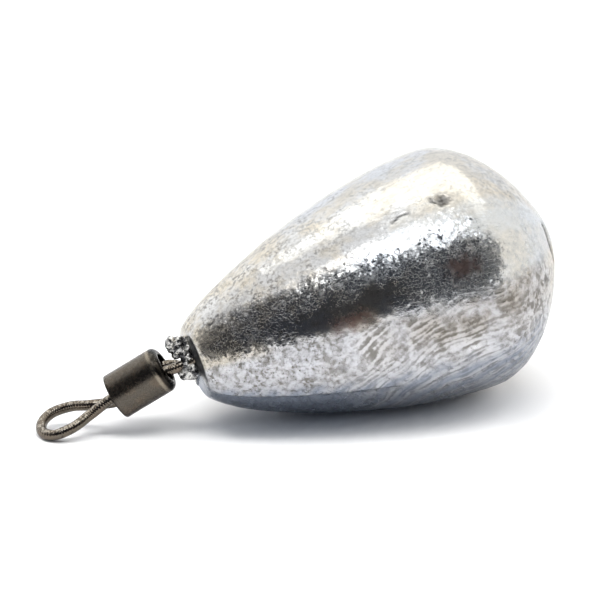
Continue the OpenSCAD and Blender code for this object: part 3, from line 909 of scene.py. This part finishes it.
def makeTable(plan=studio):
    material, tree = newMaterial("whiteTable")
    colour = mixColour(tree, seenRays(tree), plan["table"], plan["mirrorTable"])
    camera = addNode(tree, "ShaderNodeLightPath").outputs["Is Camera Ray"]
    colour = mixColour(tree, camera, colour, plan["seenTable"])
    diffuse = addNode(tree, "ShaderNodeBsdfDiffuse", {"Color": colour})
    addNode(tree, "ShaderNodeOutputMaterial", {"Surface": diffuse.outputs[0]})
    mesh = bpy.data.meshes.new("table")
    side, low = plan["tableHalf"], plan["tableHeight"] * millimetre
    corners = [(-side, -side, low), (side, -side, low), (side, side, low), (-side, side, low)]
    mesh.from_pydata(corners, [], [(0, 1, 2, 3)])
    mesh.materials.append(material)
    table = addObject("table", mesh)


def makeSky(plan=studio):
    world = bpy.data.worlds.new("studioSky")
    bpy.context.scene.world = world
    world.use_nodes = True
    tree = world.node_tree
    tree.nodes.clear()
    way = addNode(tree, "ShaderNodeTexCoord").outputs["Generated"]
    height = addNode(tree, "ShaderNodeSeparateXYZ", {0: way}).outputs["Z"]
    colour = mixColour(tree, stepNode(tree, height, *plan["skyStep"]), plan["skyLow"], plan["skyHigh"])
    colour = mixColour(tree, seenRays(tree), colour, plan["seenSky"])
    sky = addNode(tree, "ShaderNodeBackground", {"Color": colour, "Strength": 1.0})
    addNode(tree, "ShaderNodeOutputWorld", {"Surface": sky.outputs[0]})


# Cards are the room that the metal reflects, and only reflections see them. Shades and edges are
# placed by degrees to the right of the camera's side, and edges by degrees above the table.
cards = [
    {"name": "darkRoom", "far": 1.0, "shades": [(-100, (0.75, 0.75, 0.75)), (-78, (0.22, 0.22, 0.23)),
     (-62, (0.055, 0.056, 0.063)), (-20, (0.038, 0.041, 0.050)), (30.5, (0.048, 0.051, 0.060))],
     "lower": [(-100, 24), (-80, 12), (-60, 4), (-20, 2), (0, 4), (30.5, 0)],
     "upper": [(-100, 47), (-60, 53), (-40, 56), (5, 56), (30.5, 54.3)]},
    {"name": "greyDoor", "far": 1.0, "shades": [(30.5, (0.10, 0.105, 0.11)), (52, (0.16, 0.16, 0.16)),
     (80, (0.42, 0.41, 0.39))],
     "lower": [(30.5, -1), (40, 0), (55, 14), (80, 31)], "upper": [(30.5, 49), (60, 46), (80, 34)]},
    {"name": "frontBox", "far": 1.02, "shades": [(-60, (1.2, 1.2, 1.2)), (-42, (3, 3, 3)), (30.5, (3, 3, 3))],
     "lower": [(-60, 58), (30.5, 54)], "upper": [(-60, 64), (-40, 69), (30.5, 70)]},
    {"name": "ceiling", "far": 1.05, "shades": [(-60, (1.2, 1.2, 1.2)), (30.5, (1.25, 1.25, 1.24))],
     "lower": [(-60, 62), (-40, 67), (30.5, 68)], "upper": [(-60, 86), (30.5, 86)]},
    {"name": "zenith", "far": 1.35, "shades": [(-180, (1.42, 1.42, 1.40)), (-60, (1.42, 1.42, 1.40)),
     (30, (1.15, 1.15, 1.13)), (150, (1.15, 1.15, 1.13)), (180, (1.42, 1.42, 1.40))],
     "lower": [(-180, 74), (180, 74)], "upper": [(-180, 90), (180, 90)]},
    {"name": "beigeWall", "far": 1.2, "shades": [(30.5, (0.72, 0.69, 0.64)), (60, (1.14, 1.09, 1.00)),
     (90, (1.20, 1.15, 1.06)), (120, (1.16, 1.12, 1.05)), (150, (1.12, 1.12, 1.12))],
     "lower": [(30.5, -1), (150, -1)], "upper": [(30.5, 86), (60, 80), (90, 56), (150, 48)]},
    {"name": "backBox", "far": 1.2, "shades": [(88, (1.3, 1.27, 1.2)), (130, (1.9, 1.9, 1.85)),
     (235, (1.9, 1.9, 1.85)), (250, (1.2, 1.17, 1.1))],
     "lower": [(88, 54), (130, 50), (180, 42), (235, 44), (250, 52)], "upper": [(88, 78), (250, 78)]},
    {"name": "leftSheet", "far": 1.3, "shades": [(150, (1.05, 1.08, 1.13)), (200, (1.08, 1.11, 1.16)),
     (212, (1.3, 1.3, 1.28)), (250, (1.2, 1.2, 1.2))],
     "lower": [(150, -1), (250, -1)], "upper": [(150, 50), (180, 46), (208, 46), (250, 32)]},
]


def direction(across, up, plan=studio):
    a = math.radians(plan["azimuth"] + across)
    e = math.radians(up)
    return Vector((math.sin(a) * math.cos(e), -math.cos(a) * math.cos(e), math.sin(e)))


def makeCard(card):
    material, tree = newMaterial(card["name"])
    glow = addNode(tree, "ShaderNodeEmission", {"Color": layerNode(tree, "shade", "Color"), "Strength": 1.0})
    addNode(tree, "ShaderNodeOutputMaterial", {"Surface": glow.outputs[0]})
    steps, points, shades = 60, [], []
    left, right = card["lower"][0][0], card["lower"][-1][0]
    stops, tones = zip(*card["shades"])
    for i in range(steps + 1):
        across = left + (right - left) * i / steps
        low, high = (np.interp(across, *zip(*card[edge])) for edge in ("lower", "upper"))
        tone = [np.interp(across, stops, channel) for channel in zip(*tones)]
        points += [direction(across, low + (high - low) * j / steps) * card["far"] for j in range(steps + 1)]
        shades += (*tone, 1.0) * (steps + 1)
    row = steps + 1
    faces = [(i * row + j, (i + 1) * row + j, (i + 1) * row + j + 1, i * row + j + 1)
             for i in range(steps) for j in range(steps)]
    mesh = bpy.data.meshes.new(card["name"])
    mesh.from_pydata([tuple(p) for p in points], [], faces)
    mesh.attributes.new("shade", "FLOAT_COLOR", "POINT").data.foreach_set("color", shades)
    mesh.materials.append(material)
    piece = addObject(card["name"], mesh)
    piece.visible_camera = piece.visible_diffuse = piece.visible_shadow = False


# Lamps light the table and make the soft shadow, and the metal doesn't reflect them
lamps = [
    {"name": "keyStrip", "across": -8, "up": 65.5, "size": (4.5, 0.66), "power": 8.0},
    {"name": "topSheet", "across": -8, "up": 80, "size": (3.0, 1.0), "power": 70.0},
    {"name": "backBox", "across": 204, "up": 62, "size": (2.6, 1.2), "power": 30.0},
    {"name": "rightFill", "across": 100, "up": 40, "size": (3.0, 2.2), "power": 60.0},
    {"name": "leftFill", "across": -85, "up": 38, "size": (4.0, 2.4), "power": 44.0},
]


def makeLamp(lamp, plan=studio):
    data = bpy.data.lights.new(lamp["name"], "AREA")
    data.shape = "RECTANGLE"
    data.size, data.size_y = lamp["size"]
    data.energy, data.color = lamp["power"], plan["lampColour"]
    piece = addObject(lamp["name"], data)
    way = direction(lamp["across"], lamp["up"])
    piece.location = way * plan["lampFar"]
    piece.rotation_mode = "QUATERNION"
    piece.rotation_quaternion = way.to_track_quat("Z", "Y")
    piece.visible_camera = piece.visible_glossy = False


makeCamera()
makeTable()
makeSky()
for card in cards:
    makeCard(card)
for lamp in lamps:
    makeLamp(lamp)
bpy.context.scene.view_settings.view_transform = "Standard"
print("studio made")
